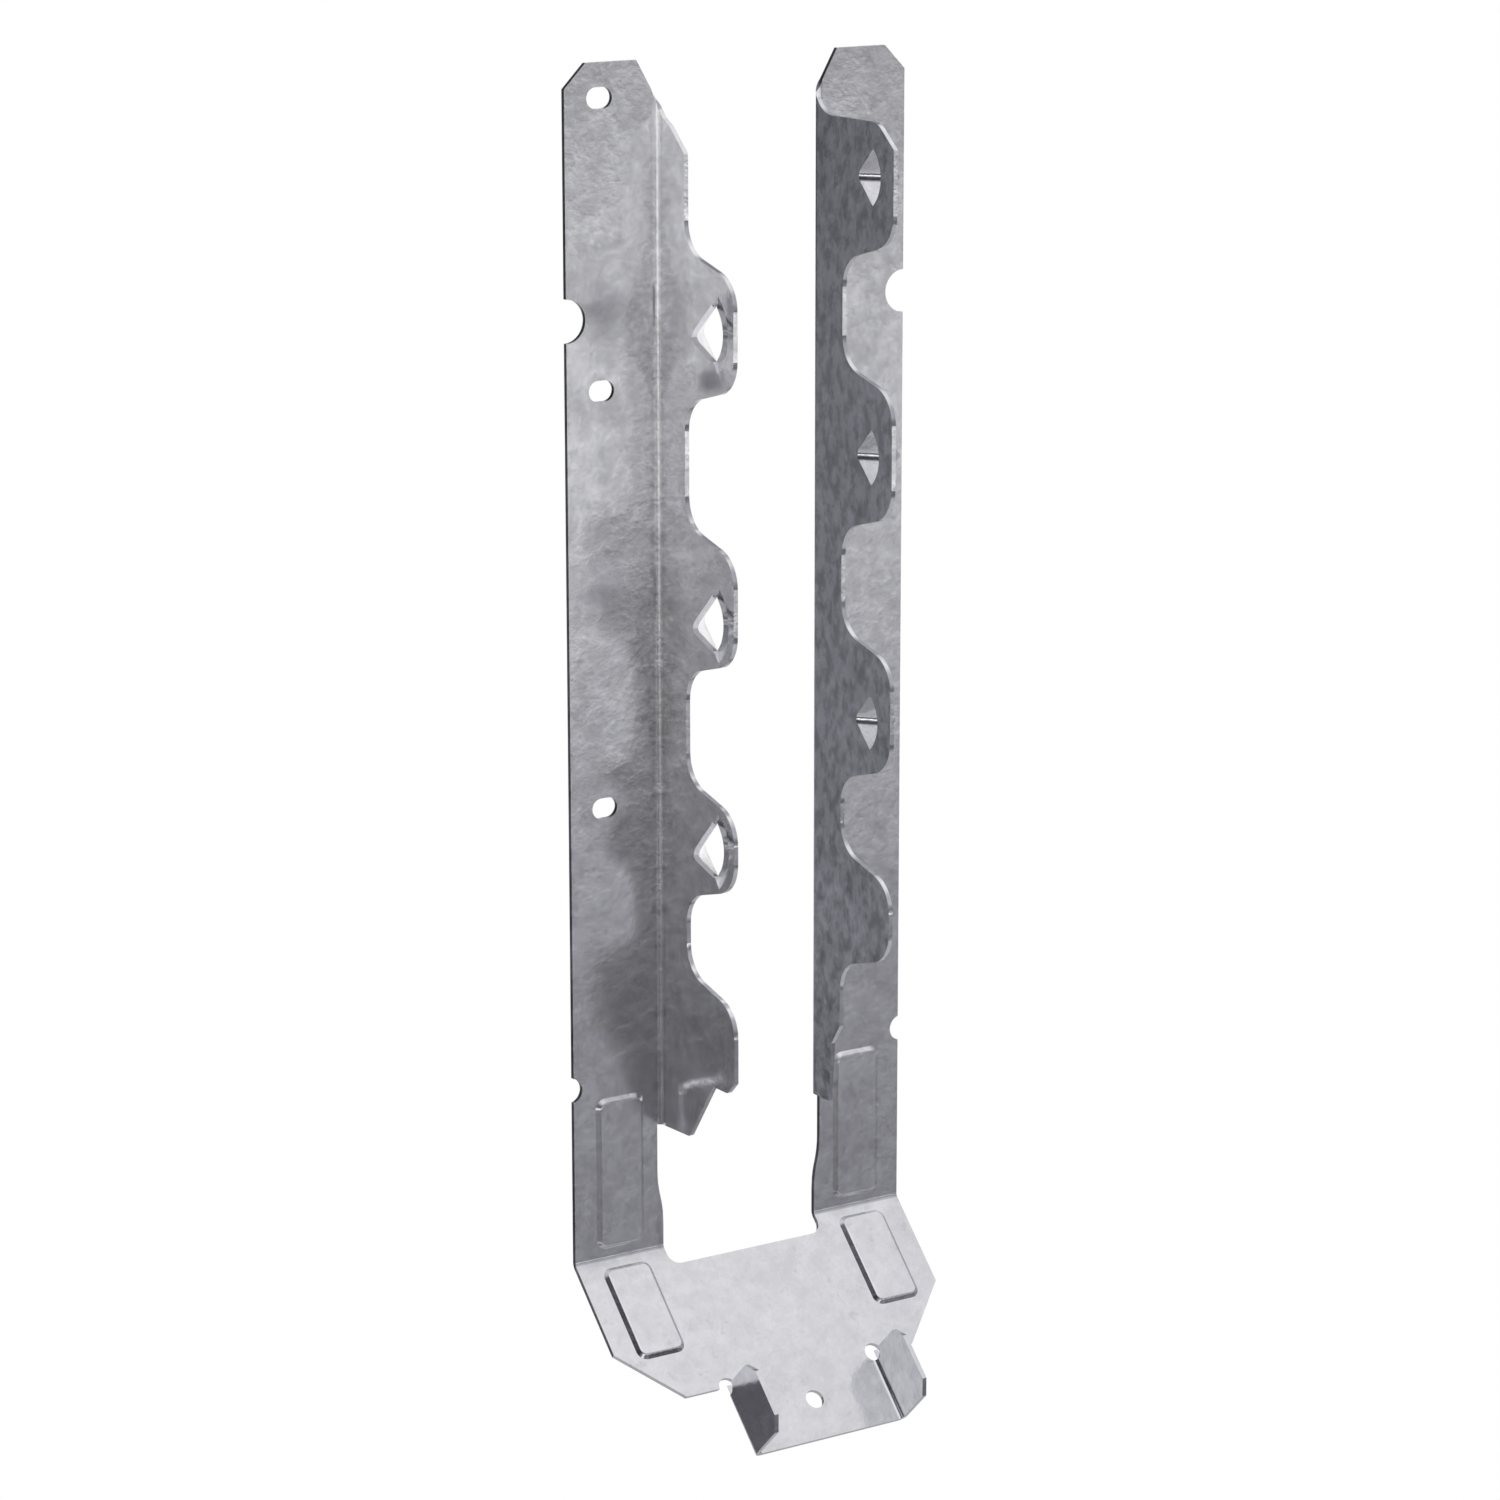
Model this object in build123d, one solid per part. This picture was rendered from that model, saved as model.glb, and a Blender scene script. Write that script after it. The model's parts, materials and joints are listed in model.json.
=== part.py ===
from build123d import *
import os
from math import atan, cos, pi, radians, sin, tan

os.makedirs("parts", exist_ok=True)

# Joist hanger for an engineered joist, folded from one blank of galvanised sheet.
# Lengths are millimetres. X runs across the joist, +Y into the header, +Z up.
# Y is zero at the back of the face plates. Z is zero where the plates meet the seat.

# Sheet and folds
sheet = 1.2
flange_fold_radius = 1.2
seat_fold_radius = 1.5
tab_fold_radius = 1.0
neutral_share = 0.45

# Joist and overall size
joist_width = 44.0
joist_clearance = 1.0
hanger_height = 302.0
plate_outer_x = 49.5

# Face plates
outer_chamfer = 6.0
top_inner_x = 29.15
top_slope = 60.0
nail_slot_length = 7.2
nail_slot_width = 5.2
nail_slot_x = 39.7
nail_slot_heights = (293.5, 222.6, 118.1)
large_notch_radius = 5.4
large_notch_height = 240.3
small_notch_radius = 3.3
small_notch_offset = 0.8
small_notch_height = 46.2
foot_inner_x = 23.2
foot_edge_low = 6.5
foot_edge_high = 21.0

# Joist flanges and the wavy cut that parts them in the blank
flange_foot_height = 33.0
flange_top_height = 286.4
lobe_depth = 34.2
wave_crossings = (73.8, 98.8, 123.0, 155.7, 187.1, 222.8, 254.5)
wave_slope = 15.0
wave_radius = 9.0
shoulder_drop = 6.0
shoulder_slope = 40.0
right_top_radius = 7.5
right_shoulder_radius = 6.0
left_crest_depth = 6.0
left_neck_depth = 3.0
left_neck_height = 288.1
left_heel_depth = 13.4
left_heel_height = 33.4
left_step_depth = 24.6
left_step_height = 49.4
left_toe_chamfer = 3.2
left_corner_radius = 1.0
right_strip_depth = 7.6
right_strip_top_depth = 8.8
right_strip_height = 48.7
right_step_height = 54.3

# Lanced nail guides in the flanges
left_guide_heights = (238.4, 167.4, 110.6)
right_guide_heights = (272.9, 203.9, 136.8)
guide_apex_depth = 18.6
guide_mouth_depth = 25.4
guide_front_depth = 28.7
guide_height = 13.9
guide_slope = 42.0
guide_length = 11.0
guide_ridge_radius = 2.75
guide_ramp_length = 3.2
guide_ramp_drop = 0.6

# Seat
seat_angle = 45.0
seat_rear_edge = 5.45
seat_rear_radius = 3.2
wing_side_length = 25.8
wing_front_edge = 40.95
wing_front_x = 34.6
tongue_front_edge = 60.2
seat_hole_radius = 2.5
seat_hole_distance = 49.6

# Tabs folded up from the tongue
tab_inner_x = 21.9
tab_rear_edge = 41.0
tab_height = 15.9
tab_chamfer = 3.4
relief_radius = 2.5
relief_x = 22.3
relief_lift = 0.9

# Stiffening beads
bead_inner_x = 29.1
bead_width = 14.0
bead_corner_radius = 2.6
bead_rise = 1.0
bead_wall_taper = 45.0
bead_edge_radius = 0.6
bead_margin = 2.7
plate_bead_length = 40.0
seat_bead_length = 26.2

# Places that follow from the sizes above
channel_half = (joist_width + joist_clearance) / 2
root_x = channel_half + sheet + flange_fold_radius
fold_allowance = pi / 2 * (flange_fold_radius + neutral_share * sheet)
valley_depth = 2 * (root_x + flange_fold_radius - fold_allowance) - lobe_depth
plate_root_top = hanger_height - (top_inner_x - root_x) * tan(radians(top_slope))
flange_root_top = plate_root_top - fold_allowance * tan(radians(top_slope))
seat_turn = 90 - seat_angle
seat_tangent = seat_fold_radius * tan(radians(seat_turn / 2))
bead_center_x = bead_inner_x + bead_width / 2

# Front faces of the plates, seen from the front with Z up
face_plane = Plane(origin=(0, -sheet, 0), x_dir=(1, 0, 0), z_dir=(0, -1, 0))
# Top face of the seat, with its local Y running down the slope and its normal downward
seat_plane = Plane(
    origin=(0, -sheet, 0),
    x_dir=(1, 0, 0),
    z_dir=(0, sin(radians(seat_angle)), -cos(radians(seat_angle))),
)
down_slope = seat_plane.y_dir
seat_up = -seat_plane.z_dir


def side_plane(x):
    """Channel side of the left flange at x, with local X forward and local Z outward."""
    return Plane(origin=(x, -sheet, 0), x_dir=(0, -1, 0), z_dir=(-1, 0, 0))


def wave_points(low_first):
    """Corners of the wavy cut from the lowest crossing up, starting in a valley or on a lobe."""
    depths = (valley_depth, lobe_depth) if low_first else (lobe_depth, valley_depth)
    half_rise = (lobe_depth - valley_depth) * tan(radians(wave_slope)) / 2
    points = []
    for index, height in enumerate(wave_crossings):
        before = depths[index % 2]
        after = depths[(index + 1) % 2]
        points.append((before, height - half_rise))
        points.append((after, height + half_rise))
    return points


def left_flange_outline():
    """Outline of the left flange as depth in front of the plates and height."""
    wave = wave_points(low_first=False)
    points = [
        (flange_fold_radius, flange_foot_height),
        (left_heel_depth, left_heel_height),
        (left_step_depth, left_step_height),
        (lobe_depth - left_toe_chamfer, left_step_height),
        (lobe_depth, left_step_height + left_toe_chamfer),
        *wave,
        (valley_depth, flange_top_height - shoulder_drop),
        (left_crest_depth, flange_top_height),
        (left_neck_depth, left_neck_height),
        (flange_fold_radius, flange_root_top),
    ]
    foot_radii = [left_corner_radius, 0.0, left_corner_radius, 0.0]
    top_radii = [0.0, 0.0, 0.0]
    return points, foot_radii + [wave_radius] * len(wave) + top_radii


def right_flange_outline():
    """Outline of the right flange as depth in front of the plates and height."""
    wave = wave_points(low_first=True)
    shoulder_run = shoulder_drop / tan(radians(shoulder_slope))
    slope_run = (flange_root_top - flange_top_height) / tan(radians(top_slope))
    points = [
        (flange_fold_radius, flange_foot_height),
        (right_strip_depth, flange_foot_height),
        (right_strip_top_depth, right_strip_height),
        (valley_depth, right_step_height),
        *wave,
        (lobe_depth, flange_top_height - shoulder_drop),
        (lobe_depth - shoulder_run, flange_top_height),
        (flange_fold_radius + slope_run, flange_top_height),
        (flange_fold_radius, flange_root_top),
    ]
    foot_radii = [0.0, 0.0, 0.0]
    top_radii = [0.0, right_shoulder_radius, right_top_radius]
    return points, foot_radii + [wave_radius] * len(wave) + top_radii


def edge_path(points, radii):
    """Path through the points with each inner corner rounded by its own radius, or left sharp."""
    corners = list(zip(points[1:-1], radii))
    lines = []
    start = Vector(*points[0])
    for index, (corner, radius) in enumerate(corners):
        here = Vector(*corner)
        after = Vector(*points[index + 2])
        toward_start = (start - here).normalized()
        toward_after = (after - here).normalized()
        if radius > 0:
            turn = 180 - toward_start.get_angle(toward_after)
            tangent = radius * tan(radians(turn / 2))
            arc_start = here + toward_start * tangent
            arc_end = here + toward_after * tangent
            bisector = (toward_start + toward_after).normalized()
            reach = radius / cos(radians(turn / 2))
            middle = here + bisector * (reach - radius)
            lines.append(Line(start, arc_start))
            lines.append(ThreePointArc(arc_start, middle, arc_end))
            start = arc_end
        else:
            lines.append(Line(start, here))
            start = here
    lines.append(Line(start, Vector(*points[-1])))
    return lines


def outline_face(points, radii):
    """Face inside a closed outline whose last side runs straight back to its first point."""
    lines = edge_path(points, radii)
    lines.append(Line(Vector(*points[-1]), Vector(*points[0])))
    return make_face(lines)


def plate(slot_heights):
    """Left face plate with its chamfers, notches, nail slots and the edge below the flange."""
    middle = (foot_edge_low + foot_edge_high) / 2
    outline = [
        Line((-root_x, plate_root_top), (-top_inner_x, hanger_height)),
        Line((-top_inner_x, hanger_height), (outer_chamfer - plate_outer_x, hanger_height)),
        Line(
            (outer_chamfer - plate_outer_x, hanger_height),
            (-plate_outer_x, hanger_height - outer_chamfer),
        ),
        Line((-plate_outer_x, hanger_height - outer_chamfer), (-plate_outer_x, seat_tangent)),
        Line((-plate_outer_x, seat_tangent), (-foot_inner_x, seat_tangent)),
        Line((-foot_inner_x, seat_tangent), (-foot_inner_x, foot_edge_low)),
        Bezier(
            (-foot_inner_x, foot_edge_low),
            (-foot_inner_x, middle),
            (-root_x, middle),
            (-root_x, foot_edge_high),
        ),
        Line((-root_x, foot_edge_high), (-root_x, plate_root_top)),
    ]
    face = make_face(outline)
    large_notch = Pos(-plate_outer_x, large_notch_height) * Circle(large_notch_radius)
    small_notch_x = plate_outer_x + small_notch_offset
    small_notch = Pos(-small_notch_x, small_notch_height) * Circle(small_notch_radius)
    face = face - large_notch - small_notch
    for height in slot_heights:
        slot = SlotOverall(nail_slot_length, nail_slot_width)
        face = face - Pos(-nail_slot_x, height) * slot
    return extrude(face_plane * face, amount=-sheet)


def flange_fold():
    """Quarter bend between the left plate and its flange, cut off on the slope at its top."""
    outer = flange_fold_radius + sheet
    quadrant = Pos(outer / 2, outer / 2) * Rectangle(outer, outer)
    section = (Circle(outer) - Circle(flange_fold_radius)) & quadrant
    ring = extrude(section, amount=plate_root_top - flange_foot_height)
    reach = 2 * outer
    wedge = Pos(reach / 2, -reach / 2) * Rectangle(reach, reach)
    cut_height = plate_root_top - flange_root_top
    cut = Solid.extrude_linear_with_rotation(
        wedge.face(), center=(0, 0, 0), normal=(0, 0, cut_height), angle=90
    )
    top = Pos(0, 0, flange_root_top - flange_foot_height)
    corner = Pos(-root_x, -sheet - flange_fold_radius, flange_foot_height)
    return corner * (ring - top * cut)


def guide_frame(height):
    """Frame on the channel side of the left flange at a nail guide's own height."""
    return side_plane(-channel_half) * Pos(0, height, 0)


def guide_window():
    """Opening cut right through the sheet, from the mouth line to the curved front edge."""
    half = guide_height / 2
    lines = [
        Line((guide_mouth_depth, -half), (guide_mouth_depth, half)),
        ThreePointArc(
            (guide_mouth_depth, half), (guide_front_depth, 0), (guide_mouth_depth, -half)
        ),
    ]
    return extrude(make_face(lines), amount=sheet)


def guide_ramp():
    """Shallow coined ramp that leads a nail over the flange's outer face into the window."""
    half = guide_height / 2
    bulge = guide_front_depth - guide_mouth_depth
    radius = (half**2 + bulge**2) / (2 * bulge)
    center = guide_front_depth - radius
    cone = Pos(center, 0, sheet - guide_ramp_drop) * Cone(
        radius,
        radius + guide_ramp_length,
        guide_ramp_drop,
        align=(Align.CENTER, Align.CENTER, Align.MIN),
    )
    reach = 2 * (radius + guide_ramp_length)
    rise = reach * half / (guide_mouth_depth - center)
    wedge = make_face(Polyline((0, 0), (reach, rise), (reach, -rise), close=True))
    return cone & Pos(center, 0, 0) * extrude(wedge, amount=sheet)


def guide_roof(offset):
    """Ridged prism along the pressed-out tongue, its inner surface moved outward by offset."""
    slope = radians(guide_slope)
    half = guide_height / 2
    drop = (guide_mouth_depth - guide_apex_depth) * sin(slope)
    tilt = atan(drop / half)
    tip = offset / cos(tilt)
    base = half + offset / sin(tilt)
    ridge_radius = guide_ridge_radius + offset
    path = edge_path([(base, -drop), (0, tip), (-base, -drop)], [ridge_radius])
    path.append(Line((-base, -drop), (base, -drop)))
    frame = Plane(
        origin=(guide_apex_depth, 0, 0),
        x_dir=(0, 1, 0),
        z_dir=(cos(slope), 0, sin(slope)),
    )
    reach = 2 * guide_length
    profile = frame * make_face(path)
    return extrude(profile, amount=reach, both=True)


def guide_tongue():
    """Tongue of a nail guide: a bent roof of sheet, open towards the front."""
    slope = radians(guide_slope)
    half = guide_height / 2
    drop = (guide_mouth_depth - guide_apex_depth) * sin(slope)
    tilt = atan(drop / half)
    shell = guide_roof(sheet) - guide_roof(0)
    reach = 2 * guide_length
    above = Pos(guide_mouth_depth, 0, reach / 2) * Box(2 * reach, 2 * reach, reach)
    shell = shell & above
    tip = Vector(
        guide_apex_depth + guide_length * cos(slope), 0, guide_length * sin(slope)
    )
    for side in (1, -1):
        corner = Vector(guide_mouth_depth, side * half, 0)
        ridge_up = Vector(-sin(slope), 0, cos(slope))
        normal = Vector(0, side * sin(tilt), 0) + ridge_up * cos(tilt)
        along = corner - tip
        front = along.cross(normal) * side
        cut_plane = Plane(origin=tip, x_dir=along, z_dir=front)
        half_space = cut_plane * Pos(0, 0, reach / 2) * Box(3 * reach, 3 * reach, reach)
        shell = shell - half_space
    return shell


def flange(outline, guide_heights):
    """Left flange with its wavy free edge and its lanced nail guides."""
    points, radii = outline
    body = extrude(side_plane(-channel_half) * outline_face(points, radii), amount=sheet)
    floor = extrude(Rectangle(4 * guide_length, 4 * guide_length), amount=sheet)
    tongue_cut = guide_roof(0) & Pos(guide_mouth_depth, 0, 0) * floor
    for height in guide_heights:
        frame = guide_frame(height)
        body = body - frame * guide_window()
        body = body - frame * guide_ramp()
        body = body - frame * tongue_cut
        body = body + frame * guide_tongue()
    return body


def seat_fold():
    """Bend of the seat's slope under the left plate, as wide as the plate's foot."""
    outer = seat_fold_radius + sheet
    reach = 2 * outer
    side = Plane(
        origin=(-plate_outer_x, -sheet - seat_fold_radius, seat_tangent),
        x_dir=(0, 1, 0),
        z_dir=(1, 0, 0),
    )
    turn = radians(seat_turn)
    wedge = make_face(
        Polyline((0, 0), (reach, 0), (reach, -reach * tan(turn)), close=True)
    )
    section = (Circle(outer) - Circle(seat_fold_radius)) & wedge
    return extrude(side * section, amount=plate_outer_x - foot_inner_x)


def seat():
    """Sloping seat with its two wings, the tongue between the tabs and its nail hole."""
    tongue_x = tab_inner_x - tab_fold_radius
    fillet_x = foot_inner_x - seat_rear_radius
    fillet_y = seat_rear_edge - seat_rear_radius
    diagonal = seat_rear_radius * cos(radians(45))
    right = [
        Line((0, seat_rear_edge), (fillet_x, seat_rear_edge)),
        ThreePointArc(
            (fillet_x, seat_rear_edge),
            (fillet_x + diagonal, fillet_y + diagonal),
            (foot_inner_x, fillet_y),
        ),
        Line((foot_inner_x, fillet_y), (foot_inner_x, seat_tangent)),
        Line((foot_inner_x, seat_tangent), (plate_outer_x, seat_tangent)),
        Line((plate_outer_x, seat_tangent), (plate_outer_x, wing_side_length)),
        Line((plate_outer_x, wing_side_length), (wing_front_x, wing_front_edge)),
        Line((wing_front_x, wing_front_edge), (tongue_x, wing_front_edge)),
        Line((tongue_x, wing_front_edge), (tongue_x, tongue_front_edge)),
        Line((tongue_x, tongue_front_edge), (0, tongue_front_edge)),
        Line((0, tongue_front_edge), (0, seat_rear_edge)),
    ]
    half = make_face(right)
    face = half + mirror(half, about=Plane.YZ)
    face = face - Pos(0, seat_hole_distance) * Circle(seat_hole_radius)
    body = extrude(seat_plane * face, amount=sheet)
    return body


def bead(length):
    """Raised field of a stiffening bead, with rounded corners, sloping walls and a soft rim."""
    outline = RectangleRounded(bead_width, length, bead_corner_radius)
    field = extrude(outline, amount=bead_rise, taper=bead_wall_taper)
    return fillet(field.edges().group_by(Axis.Z)[-1], bead_edge_radius)


def press_bead(body, front_plane, center, length):
    """Presses a bead through the sheet: raised on the front plane and hollow behind it."""
    place = front_plane * Pos(*center)
    field = bead(length)
    hollow = place * Pos(0, 0, -sheet) * field
    return body + place * field - hollow


def tab():
    """Left seat tab and its bend, with chamfered upper corners."""
    outer = tab_fold_radius + sheet
    center_x = tab_fold_radius - tab_inner_x
    length = tongue_front_edge - tab_rear_edge
    bend_plane = Plane(
        origin=seat_plane.from_local_coords((center_x, tab_rear_edge, -tab_fold_radius)),
        x_dir=(-1, 0, 0),
        z_dir=down_slope,
    )
    quadrant = Pos(outer / 2, outer / 2) * Rectangle(outer, outer)
    ring = (Circle(outer) - Circle(tab_fold_radius)) & quadrant
    bend = extrude(bend_plane * ring, amount=length)
    wall_plane = Plane(
        origin=seat_plane.from_local_coords((-tab_inner_x, 0, 0)),
        x_dir=down_slope,
        z_dir=(-1, 0, 0),
    )
    wall_outline = [
        (tab_rear_edge, tab_fold_radius),
        (tab_rear_edge, tab_height - tab_chamfer),
        (tab_rear_edge + tab_chamfer, tab_height),
        (tongue_front_edge - tab_chamfer, tab_height),
        (tongue_front_edge, tab_height - tab_chamfer),
        (tongue_front_edge, tab_fold_radius),
    ]
    wall = make_face(Polyline(*wall_outline, close=True))
    notch = Pos(tab_rear_edge, relief_lift) * Circle(relief_radius)
    wall = extrude(wall_plane * (wall - notch), amount=sheet)
    relief = seat_relief()
    return (bend - relief) + wall


def seat_relief():
    """Round relief hole at the rear end of the left tab's fold, square to the seat."""
    depth = 4 * sheet
    circle = Pos(-relief_x, tab_rear_edge, -relief_lift) * Circle(relief_radius)
    return extrude(seat_plane * circle, amount=depth)


def plate_bead_center():
    """Center of the left plate's bead on the plates' front faces."""
    return (-bead_center_x, bead_margin + plate_bead_length / 2)


def seat_bead_center():
    """Center of the left wing's bead on the seat's top face."""
    return (-bead_center_x, bead_margin + seat_bead_length / 2)


def left_half(outline, guide_heights, slot_heights):
    """Everything of one side that hangs on its plate: plate, flange and the bends."""
    body = plate(slot_heights)
    body = press_bead(body, face_plane, plate_bead_center(), plate_bead_length)
    body = body + flange_fold()
    body = body + flange(outline, guide_heights)
    return body + seat_fold()


def hanger():
    """The whole folded sheet as one solid."""
    left = left_half(left_flange_outline(), left_guide_heights, nail_slot_heights)
    right = left_half(right_flange_outline(), right_guide_heights, ())
    upside = Plane(origin=seat_plane.origin, x_dir=(-1, 0, 0), z_dir=seat_up)
    floor = seat()
    relief = seat_relief()
    floor = floor - relief - mirror(relief, about=Plane.YZ)
    center_x, center_y = seat_bead_center()
    for side in (-1, 1):
        floor = press_bead(floor, upside, (side * center_x, center_y), seat_bead_length)
    folded_tab = tab()
    body = left + mirror(right, about=Plane.YZ) + floor
    return body + folded_tab + mirror(folded_tab, about=Plane.YZ)


joist_hanger = hanger()
export_step(joist_hanger, "parts/joist_hanger.step")
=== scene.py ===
import json
import math

import bpy
from mathutils import Matrix, Vector

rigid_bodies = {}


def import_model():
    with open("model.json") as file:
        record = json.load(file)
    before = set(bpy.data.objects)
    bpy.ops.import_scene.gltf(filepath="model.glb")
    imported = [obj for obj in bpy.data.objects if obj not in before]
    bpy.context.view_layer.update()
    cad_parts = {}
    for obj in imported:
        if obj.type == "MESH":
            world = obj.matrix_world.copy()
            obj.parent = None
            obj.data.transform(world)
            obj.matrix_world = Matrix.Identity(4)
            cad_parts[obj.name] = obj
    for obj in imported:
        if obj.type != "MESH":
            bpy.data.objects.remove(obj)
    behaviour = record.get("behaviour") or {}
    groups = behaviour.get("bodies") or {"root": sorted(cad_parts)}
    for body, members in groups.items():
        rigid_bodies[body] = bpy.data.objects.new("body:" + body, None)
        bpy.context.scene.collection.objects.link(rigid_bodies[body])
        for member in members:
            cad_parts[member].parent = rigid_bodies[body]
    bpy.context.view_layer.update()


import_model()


# Camera: the photograph's view of the hanger from the front left, slightly above
CAMERA_PLACE = Vector((-0.62578, -0.9626, 0.40663))
CAMERA_HEADING = math.radians(33.2)
CAMERA_PITCH = math.radians(-13.67)
CAMERA_ROLL = math.radians(-0.034)
CAMERA_REACH = (0.05, 50.0)
SENSOR_WIDTH = 36.0
PHOTO_WIDTH = 1500.0
FOCAL_PIXELS = 4681.9


def add_camera():
    """Camera fitted to the photograph, as the scene's own."""
    data = bpy.data.cameras.new("photo_camera")
    data.lens = SENSOR_WIDTH * FOCAL_PIXELS / PHOTO_WIDTH
    data.sensor_width = SENSOR_WIDTH
    data.clip_start, data.clip_end = CAMERA_REACH
    camera = bpy.data.objects.new("photo_camera", data)
    heading = Matrix.Rotation(-CAMERA_HEADING, 4, "Z")
    pitch = Matrix.Rotation(math.radians(90.0) + CAMERA_PITCH, 4, "X")
    roll = Matrix.Rotation(CAMERA_ROLL, 4, "Z")
    camera.matrix_world = Matrix.Translation(CAMERA_PLACE) @ heading @ pitch @ roll
    bpy.context.collection.objects.link(camera)
    bpy.context.scene.camera = camera


class Nodes:
    """Adds and links the nodes of one shader tree."""

    def __init__(self, tree):
        self.tree = tree
        tree.nodes.clear()

    def add(self, kind, inputs=None, **settings):
        """New node with its settings, and a link or a constant on each named input."""
        node = self.tree.nodes.new(kind)
        for name, value in settings.items():
            setattr(node, name, value)
        for name, value in (inputs or {}).items():
            socket = node.inputs[name]
            if isinstance(value, bpy.types.NodeSocket):
                self.tree.links.new(value, socket)
            else:
                socket.default_value = value
        return node

    def axes(self, vector):
        """X, Y and Z of a vector."""
        outputs = self.add("ShaderNodeSeparateXYZ", {0: vector}).outputs
        return outputs["X"], outputs["Y"], outputs["Z"]

    def math(self, operation, first, second=0.0):
        return self.add("ShaderNodeMath", {0: first, 1: second}, operation=operation).outputs[0]

    def product(self, first, *others):
        for other in others:
            first = self.math("MULTIPLY", first, other)
        return first

    def stretch(self, vector, factors):
        node = self.add("ShaderNodeVectorMath", {0: vector, 1: factors}, operation="MULTIPLY")
        return node.outputs[0]

    def blend_values(self, share, first, second):
        node = self.add("ShaderNodeMix", {0: share, 2: first, 3: second}, data_type="FLOAT")
        return node.outputs[0]

    def blend_colors(self, share, first, second):
        node = self.add(
            "ShaderNodeMix", {"Factor": share, "A": first, "B": second}, data_type="RGBA"
        )
        return node.outputs[2]

    def noise(self, place, scale, detail=3.0, roughness=0.5, distortion=0.0):
        node = self.add(
            "ShaderNodeTexNoise",
            {
                "Vector": place,
                "Scale": scale,
                "Detail": detail,
                "Roughness": roughness,
                "Distortion": distortion,
            },
        )
        return node.outputs["Fac"]

    def ramp(self, value, low, high, out_low=0.0, out_high=1.0, kind="SMOOTHSTEP"):
        """Value carried from low...high to out_low...out_high, with soft ends."""
        node = self.add(
            "ShaderNodeMapRange",
            {
                "Value": value,
                "From Min": low,
                "From Max": high,
                "To Min": out_low,
                "To Max": out_high,
            },
            interpolation_type=kind,
        )
        return node.outputs["Result"]

    def fade(self, value, low, high, out_low=0.0, out_high=1.0):
        """Ramp with a straight run."""
        return self.ramp(value, low, high, out_low, out_high, "LINEAR")

    def levels(self, value, stops):
        """Level at a value, on straight runs between (value, level) stops.

        The color ramp holds half of each level, so that levels up to two fit.
        """
        low, high = stops[0][0], stops[-1][0]
        node = self.add("ShaderNodeValToRGB", {"Fac": self.fade(value, low, high)})
        elements = node.color_ramp.elements
        for place, _ in stops[1:-1]:
            elements.new((place - low) / (high - low))
        for element, (_, level) in zip(elements, stops):
            half = 0.5 * level
            element.color = (half, half, half, 1.0)
        return self.math("MULTIPLY", node.outputs["Color"], 2.0)


# Painted dark reflection of the left flange on the plate beside the left fold: how far it
# reaches onto the plate by height, as a share of its width, and the places in metres between
# which its edges and limits fade
FLANGE_REFLECTION_REACH = (
    (0.125, 0.0),
    (0.135, 0.3),
    (0.143, 0.45),
    (0.149, 0.3),
    (0.154, 0.85),
    (0.163, 0.8),
    (0.170, 0.5),
    (0.178, 0.25),
    (0.210, 0.12),
    (0.222, 0.2),
    (0.227, 0.6),
    (0.232, 0.95),
    (0.240, 1.0),
    (0.246, 0.7),
    (0.252, 0.4),
    (0.265, 0.22),
    (0.290, 0.0),
)
FLANGE_REFLECTION_WIDTH = 0.0082
FLANGE_REFLECTION_WOBBLE = 0.0038
FLANGE_REFLECTION_EDGE = (-0.0010, 0.0022)
FLANGE_REFLECTION_DEPTHS = (-0.0040, -0.0030)
FLANGE_REFLECTION_SIDE = (-0.0240, -0.0235)
FLANGE_REFLECTION_GRAIN = (0.40, 0.60)
FLANGE_REFLECTION_THINNEST = 0.55
FOLD_X = -0.0249


def fold_flange_reflection(nodes, place, patches, grains):
    """Mask of the painted dark reflection of the left flange, spread from the left fold over
    the plate.
    """
    across, depth, height = nodes.axes(place)
    away = nodes.math("SUBTRACT", FOLD_X, across)
    reach = nodes.product(nodes.levels(height, FLANGE_REFLECTION_REACH), FLANGE_REFLECTION_WIDTH)
    wobble = nodes.fade(patches, 0.25, 0.75, -FLANGE_REFLECTION_WOBBLE, FLANGE_REFLECTION_WOBBLE)
    inside = nodes.math("ADD", nodes.math("SUBTRACT", reach, away), wobble)
    edge = nodes.ramp(inside, *FLANGE_REFLECTION_EDGE)
    on_plate = nodes.fade(depth, *FLANGE_REFLECTION_DEPTHS)
    on_left = nodes.fade(across, *FLANGE_REFLECTION_SIDE, 1.0, 0.0)
    body = nodes.ramp(grains, *FLANGE_REFLECTION_GRAIN, FLANGE_REFLECTION_THINNEST, 1.0)
    return nodes.product(nodes.product(edge, body), nodes.product(on_plate, on_left))


# Channel sides of the flanges: where their faces end, and the height of their feet
CHANNEL_FACES = (0.02252, 0.0226)
FLANGE_FEET = (0.030, 0.032)
# Rolling direction of the sheet: specks are drawn out upright
SPECK_STRETCH = (1.0, 1.0, 0.62)
SPECK_NOISE = {"scale": 310.0, "detail": 3.0, "roughness": 0.55}
SPECK_SPAN = (0.42, 0.62)


def mill_specks(nodes, place):
    """Mask of the small specks on the flanges' channel sides, the duller side of the sheet."""
    across, _, height = nodes.axes(place)
    inner = nodes.fade(nodes.math("ABSOLUTE", across), *CHANNEL_FACES, 1.0, 0.0)
    side = nodes.product(inner, nodes.fade(height, *FLANGE_FEET))
    drawn = nodes.stretch(place, SPECK_STRETCH)
    return nodes.product(side, nodes.ramp(nodes.noise(drawn, **SPECK_NOISE), *SPECK_SPAN))


# Cut edges, bare steel with painted shade on those facing left: the depth where the plates'
# section starts, and how far left an edge faces
PLATE_SECTION = (-0.00119, -0.00115)
LEFT_FACING = (-0.40, -0.30)


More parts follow.
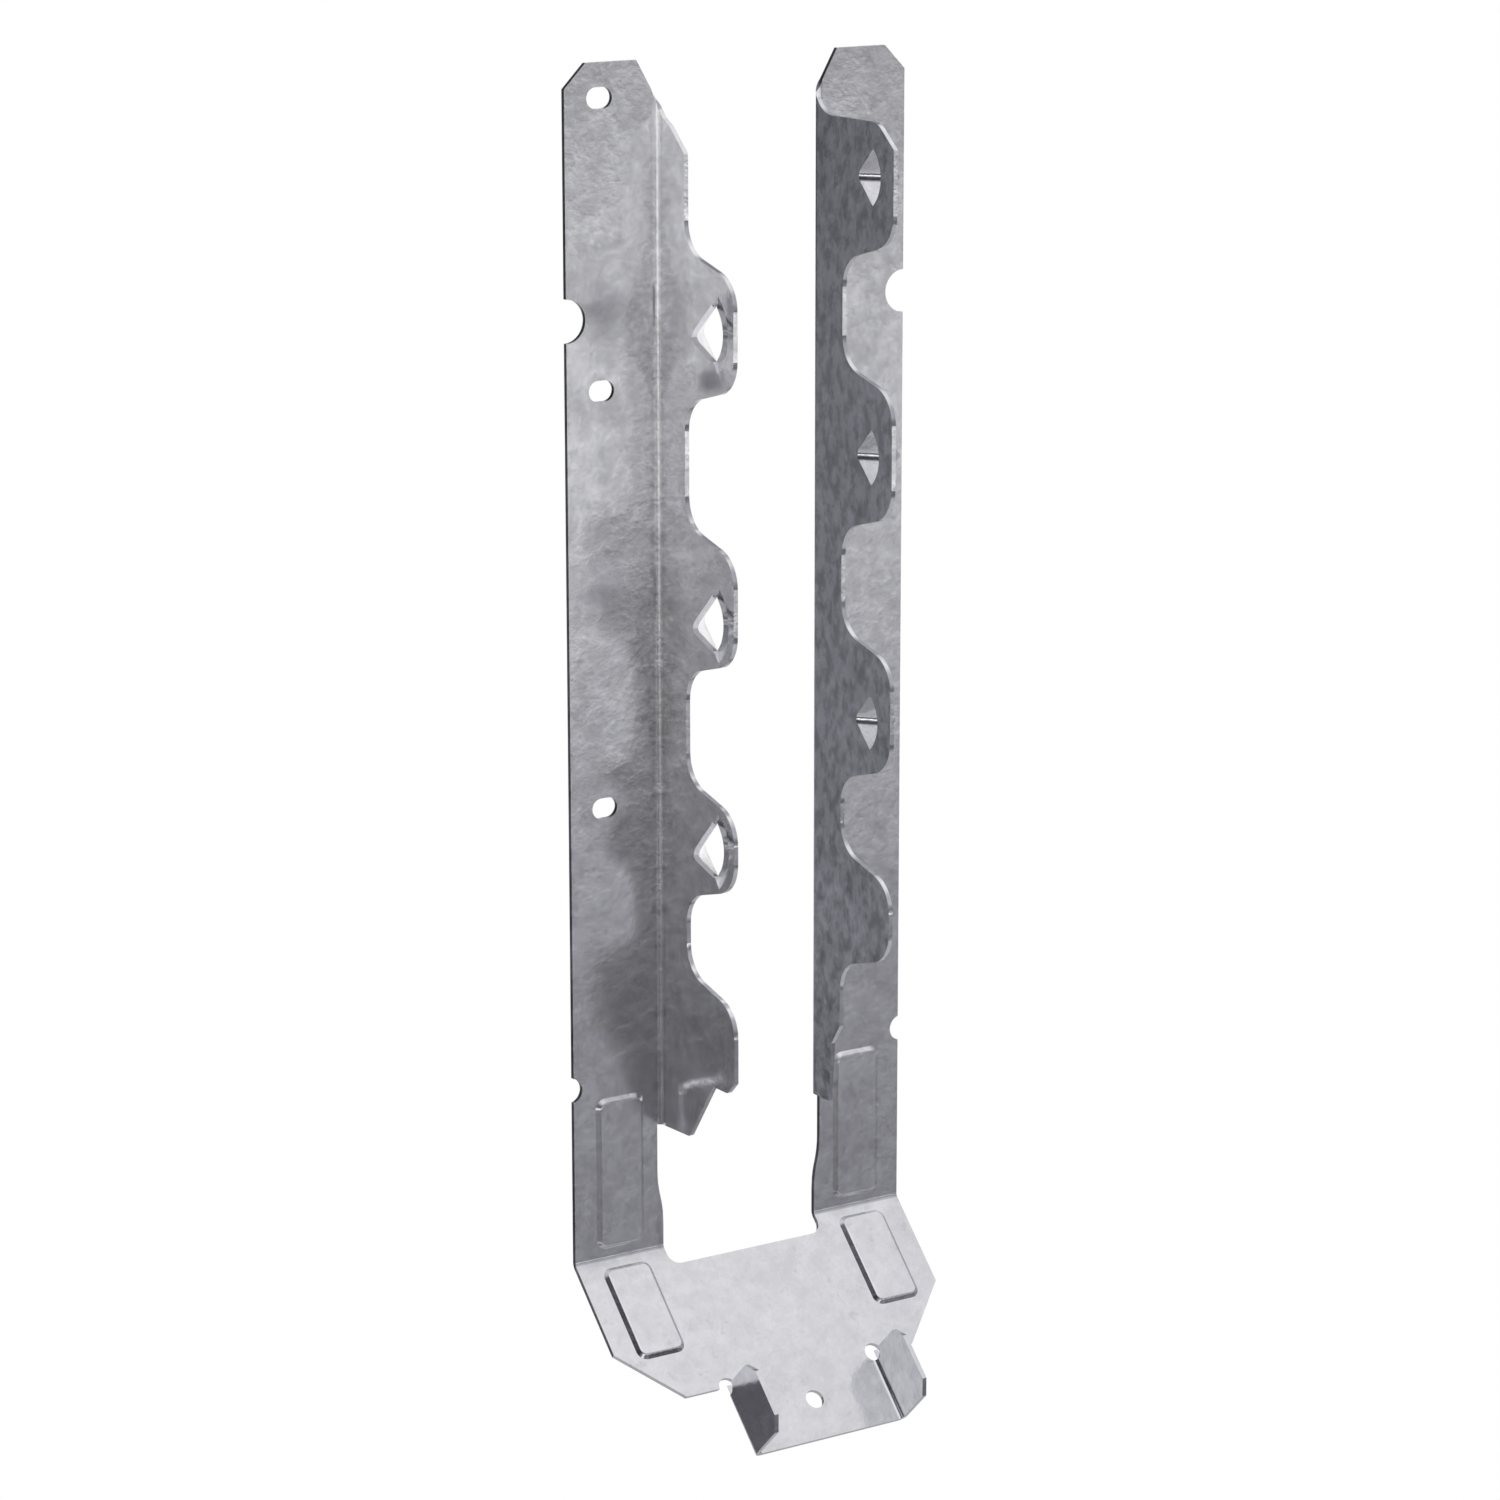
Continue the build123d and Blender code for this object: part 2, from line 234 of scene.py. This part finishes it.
def cut_edges_bare_and_shade(nodes, place):
    """Mask of the plates' cut edges that face left: bare steel, darkened as painted shade on
    that side only.
    """
    _, depth, _ = nodes.axes(place)
    across, _, _ = nodes.axes(nodes.add("ShaderNodeNewGeometry").outputs["True Normal"])
    in_plate = nodes.fade(depth, *PLATE_SECTION)
    return nodes.product(in_plate, nodes.fade(across, *LEFT_FACING, 1.0, 0.0))


# Noises of the zinc coat, and the spans that turn three of them into masks
CLOUD_NOISE = {"scale": 75.0, "detail": 3.0, "roughness": 0.55, "distortion": 0.2}
PATCH_NOISE = {"scale": 240.0, "detail": 4.0, "roughness": 0.6, "distortion": 0.3}
GRAIN_NOISE = {"scale": 700.0, "detail": 3.0, "roughness": 0.6}
BLOTCH_NOISE = {"scale": 190.0, "detail": 3.0}
STAIN_NOISE = {"scale": 30.0, "detail": 5.0, "distortion": 0.6}
SPOT_NOISE = {"scale": 260.0, "detail": 4.0, "roughness": 0.6}
BLOTCH_SPAN = (0.48, 0.58)
STAIN_SPAN = (0.55, 0.75)
SPOT_SPAN = (0.60, 0.70)

# Mottle: shares of clouds, patches and grains, and its contrast by height, which is weak
# on the seat and strong on the plates' feet
CLOUD_SHARE = 0.4
PATCH_SHARE = 0.45
GRAIN_SHARE = 0.15
MOTTLE_RANGE = (0.34, 0.66)
MOTTLE_SPANS = (
    (-0.05, 0.10),
    (-0.002, 0.10),
    (0.004, 0.34),
    (0.10, 0.30),
    (0.16, 0.17),
    (0.31, 0.17),
)

# Reflectance of clean zinc, its full color, and what each kind of mark, painted reflection or
# painted shade takes away
ZINC_REFLECTANCE = 0.845
ZINC_COLOR = (0.995, 0.995, 1.01, 1.0)
BLACK = (0.0, 0.0, 0.0, 1.0)
STAIN_LOSS = 0.05
# Painted dark reflection of the left flange on the plate beside the fold
FLANGE_REFLECTION_LOSS = 0.26
SPECK_LOSS = 0.25
SPOT_LOSS = 0.08
# Left-facing cut edges: bare steel, with painted shade
EDGE_BARE_AND_SHADE_LOSS = 0.60
PATINA_SHARE = 0.08

# Surface: bump of the mottle, roughness over its range, and the dull added behind the folds
BUMP_STRENGTH = 0.35
BUMP_HEIGHT = 0.0004
GLOSS_RANGE = (0.3, 0.7)
ROUGHNESS = (0.19, 0.13)
DULL_DEPTHS = (-0.0032, -0.0022)
DULL_ROUGHNESS = 0.08


def galvanised_material():
    """Bright galvanised sheet: soft zinc mottle, blotches, stains and spots, with a painted
    reflection beside the left fold and painted shade on left-facing cut edges.
    """
    material = bpy.data.materials.new("galvanised_sheet")
    material.use_nodes = True
    nodes = Nodes(material.node_tree)
    place = nodes.add("ShaderNodeTexCoord").outputs["Object"]
    _, depth, height = nodes.axes(place)
    clouds = nodes.noise(place, **CLOUD_NOISE)
    patches = nodes.noise(place, **PATCH_NOISE)
    grains = nodes.noise(place, **GRAIN_NOISE)
    blotches = nodes.ramp(nodes.noise(place, **BLOTCH_NOISE), *BLOTCH_SPAN)
    stains = nodes.ramp(nodes.noise(place, **STAIN_NOISE), *STAIN_SPAN)
    spots = nodes.ramp(nodes.noise(place, **SPOT_NOISE), *SPOT_SPAN)
    broad = nodes.math(
        "ADD", nodes.product(clouds, CLOUD_SHARE), nodes.product(patches, PATCH_SHARE)
    )
    mottle = nodes.math("ADD", broad, nodes.product(grains, GRAIN_SHARE))
    swing = nodes.ramp(mottle, *MOTTLE_RANGE, -0.5, 0.5)
    swing = nodes.product(swing, nodes.levels(height, MOTTLE_SPANS))
    reflectance = nodes.math("ADD", swing, ZINC_REFLECTANCE)
    marks_and_painted_light = (
        (stains, STAIN_LOSS),
        # painted dark reflection of the left flange beside the left fold
        (fold_flange_reflection(nodes, place, patches, grains), FLANGE_REFLECTION_LOSS),
        (mill_specks(nodes, place), SPECK_LOSS),
        (spots, SPOT_LOSS),
        # painted shade on the left-facing cut edges of bare steel
        (cut_edges_bare_and_shade(nodes, place), EDGE_BARE_AND_SHADE_LOSS),
    )
    for mask, loss in marks_and_painted_light:
        reflectance = nodes.math("SUBTRACT", reflectance, nodes.product(mask, loss))
    patina = nodes.product(blotches, PATINA_SHARE)
    bump = nodes.add(
        "ShaderNodeBump",
        {"Height": mottle, "Strength": BUMP_STRENGTH, "Distance": BUMP_HEIGHT},
    )
    rough = nodes.ramp(mottle, *GLOSS_RANGE, *ROUGHNESS)
    dull = nodes.fade(depth, *DULL_DEPTHS, 0.0, DULL_ROUGHNESS)
    shader = nodes.add(
        "ShaderNodeBsdfPrincipled",
        {
            "Base Color": nodes.blend_colors(reflectance, BLACK, ZINC_COLOR),
            "Roughness": nodes.math("ADD", rough, dull),
            "Metallic": nodes.math("SUBTRACT", 1.0, patina),
            "Normal": bump.outputs["Normal"],
        },
    )
    nodes.add("ShaderNodeOutputMaterial", {"Surface": shader.outputs[0]})
    return material


def dress_hanger():
    """Puts the galvanised sheet on the hanger's mesh."""
    material = galvanised_material()
    for item in bpy.data.objects:
        if item.type == "MESH" and item.name.startswith("joist_hanger"):
            for slot in item.material_slots:
                slot.material = material
            if not item.material_slots:
                item.data.materials.append(material)


FLOOR_RADIUS = 0.7
FLOOR_HEIGHT = -0.40
FLOOR_SIDES = 96
FLOOR_COLOR = (0.8, 0.8, 0.8, 1.0)


def add_floor():
    """Pale round floor well below the hanger, which hangs on its header."""
    turns = [2.0 * math.pi * step / FLOOR_SIDES for step in range(FLOOR_SIDES)]
    rim = [
        (FLOOR_RADIUS * math.cos(turn), FLOOR_RADIUS * math.sin(turn), FLOOR_HEIGHT)
        for turn in turns
    ]
    mesh = bpy.data.meshes.new("floor")
    mesh.from_pydata(rim, [], [tuple(range(FLOOR_SIDES))])
    floor = bpy.data.objects.new("floor", mesh)
    bpy.context.collection.objects.link(floor)
    material = bpy.data.materials.new("pale_floor")
    material.use_nodes = True
    nodes = Nodes(material.node_tree)
    pale = nodes.add("ShaderNodeBsdfDiffuse", {"Color": FLOOR_COLOR})
    nodes.add("ShaderNodeOutputMaterial", {"Surface": pale.outputs[0]})
    mesh.materials.append(material)


# Studio walls: brightness by the height of the direction, from straight down to a little
# above level, on the front right, on the front left and behind the hanger
FRONT_RIGHT_LEVELS = (
    (-1.0, 0.50),
    (-0.50, 0.45),
    (-0.42, 0.10),
    (-0.37, 0.05),
    (-0.335, 0.21),
    (-0.29, 0.23),
    (-0.25, 0.17),
    (-0.226, 0.20),
    (-0.195, 0.46),
    (-0.175, 0.96),
    (-0.15, 1.42),
    (-0.13, 1.04),
    (-0.10, 0.05),
    (0.0, 0.15),
    (0.2, 0.45),
)
FRONT_LEFT_LEVELS = (
    (-1.0, 0.50),
    (-0.50, 0.42),
    (-0.42, 0.08),
    (-0.32, 0.03),
    (-0.26, 0.01),
    (-0.235, 0.01),
    (-0.205, 0.02),
    (-0.178, 0.68),
    (-0.145, 0.90),
    (-0.10, 1.36),
    (-0.05, 0.7),
    (0.0, 0.25),
    (0.2, 0.15),
)
BACK_LEVELS = (
    (-1.0, 0.50),
    (-0.60, 0.60),
    (-0.50, 0.40),
    (-0.45, 0.14),
    (-0.37, 0.11),
    (-0.355, 0.06),
    (-0.345, 0.03),
    (-0.30, 0.26),
    (-0.22, 0.23),
    (-0.16, 0.12),
    (-0.10, 0.02),
    (0.2, 0.12),
)
# Where the walls turn from left to right and from front to back
LEFT_TO_RIGHT = (-0.35, 0.35)
FRONT_TO_BACK = (0.1, 1.0)

# Gain of the walls from straight left to straight right, below and above level, and the
# heights between which one turns into the other
LOW_GAINS = (
    (-1.0, 1.6),
    (-0.80, 1.5),
    (-0.65, 1.0),
    (0.47, 1.34),
    (0.50, 1.34),
    (0.55, 0.97),
    (1.0, 0.97),
)
HIGH_GAINS = (
    (-1.0, 0.3),
    (-0.74, 0.3),
    (-0.62, 1.0),
    (1.0, 1.0),
)
GAIN_HEIGHTS = (0.0, 0.2)

# Sky: its levels from left to right, and the heights between which it takes over
SKY_ACROSS = (-0.6, 0.4)
SKY_LEVELS = (0.67, 0.87)
SKY_HEIGHTS = (0.55, 0.85)

# White backdrop behind the hanger: where it fades in from the left and from the front, and
# where it fades in at its foot and out at its top
BACKDROP_LEFT = (0.15, 0.35)
BACKDROP_FRONT = (0.25, 0.50)
BACKDROP_FOOT = (-0.52, -0.42)
BACKDROP_TOP = (0.10, 0.30)
BACKDROP_LEVEL = 1.0

# Tint of the light, which fades out as the level nears one
DARK_TINT = (0.91, 0.91, 1.07, 1.0)
WHITE = (1.0, 1.0, 1.0, 1.0)


def add_world():
    """One studio for every ray: graded walls, bright sky, white backdrop behind the hanger."""
    world = bpy.data.worlds.new("studio")
    bpy.context.scene.world = world
    world.use_nodes = True
    nodes = Nodes(world.node_tree)
    direction = nodes.add("ShaderNodeTexCoord").outputs["Generated"]
    across, back, height = nodes.axes(direction)
    right = nodes.levels(height, FRONT_RIGHT_LEVELS)
    left = nodes.levels(height, FRONT_LEFT_LEVELS)
    far = nodes.levels(height, BACK_LEVELS)
    front = nodes.blend_values(nodes.ramp(across, *LEFT_TO_RIGHT), left, right)
    walls = nodes.blend_values(nodes.ramp(back, *FRONT_TO_BACK), front, far)
    low_gain = nodes.levels(across, LOW_GAINS)
    high_gain = nodes.levels(across, HIGH_GAINS)
    gain = nodes.blend_values(nodes.ramp(height, *GAIN_HEIGHTS), low_gain, high_gain)
    walls = nodes.product(walls, gain)
    sky = nodes.fade(across, *SKY_ACROSS, *SKY_LEVELS)
    level = nodes.blend_values(nodes.ramp(height, *SKY_HEIGHTS), walls, sky)
    behind = nodes.product(
        nodes.ramp(across, *BACKDROP_LEFT), nodes.ramp(back, *BACKDROP_FRONT)
    )
    band = nodes.product(
        nodes.ramp(height, *BACKDROP_FOOT), nodes.ramp(height, *BACKDROP_TOP, 1.0, 0.0)
    )
    level = nodes.blend_values(nodes.product(behind, band), level, BACKDROP_LEVEL)
    tint = nodes.blend_colors(level, DARK_TINT, WHITE)
    studio = nodes.add("ShaderNodeBackground", {"Color": tint, "Strength": level})
    nodes.add("ShaderNodeOutputWorld", {"Surface": studio.outputs[0]})


# Key lamp: one soft square above the front, aimed at the middle of the hanger
KEY_PLACE = Vector((-0.4, -1.4, 1.8))
KEY_TARGET = Vector((0.0, 0.0, 0.15))
KEY_SIZE = 2.4
KEY_POWER = 3.0


def add_key_lamp():
    data = bpy.data.lights.new("key", "AREA")
    data.shape = "SQUARE"
    data.size = KEY_SIZE
    data.energy = KEY_POWER
    lamp = bpy.data.objects.new("key", data)
    aim = (KEY_TARGET - KEY_PLACE).to_track_quat("-Z", "Y")
    lamp.matrix_world = Matrix.Translation(KEY_PLACE) @ aim.to_matrix().to_4x4()
    bpy.context.collection.objects.link(lamp)


add_camera()
dress_hanger()
bpy.context.scene.view_settings.view_transform = "Standard"
add_floor()
add_world()
add_key_lamp()
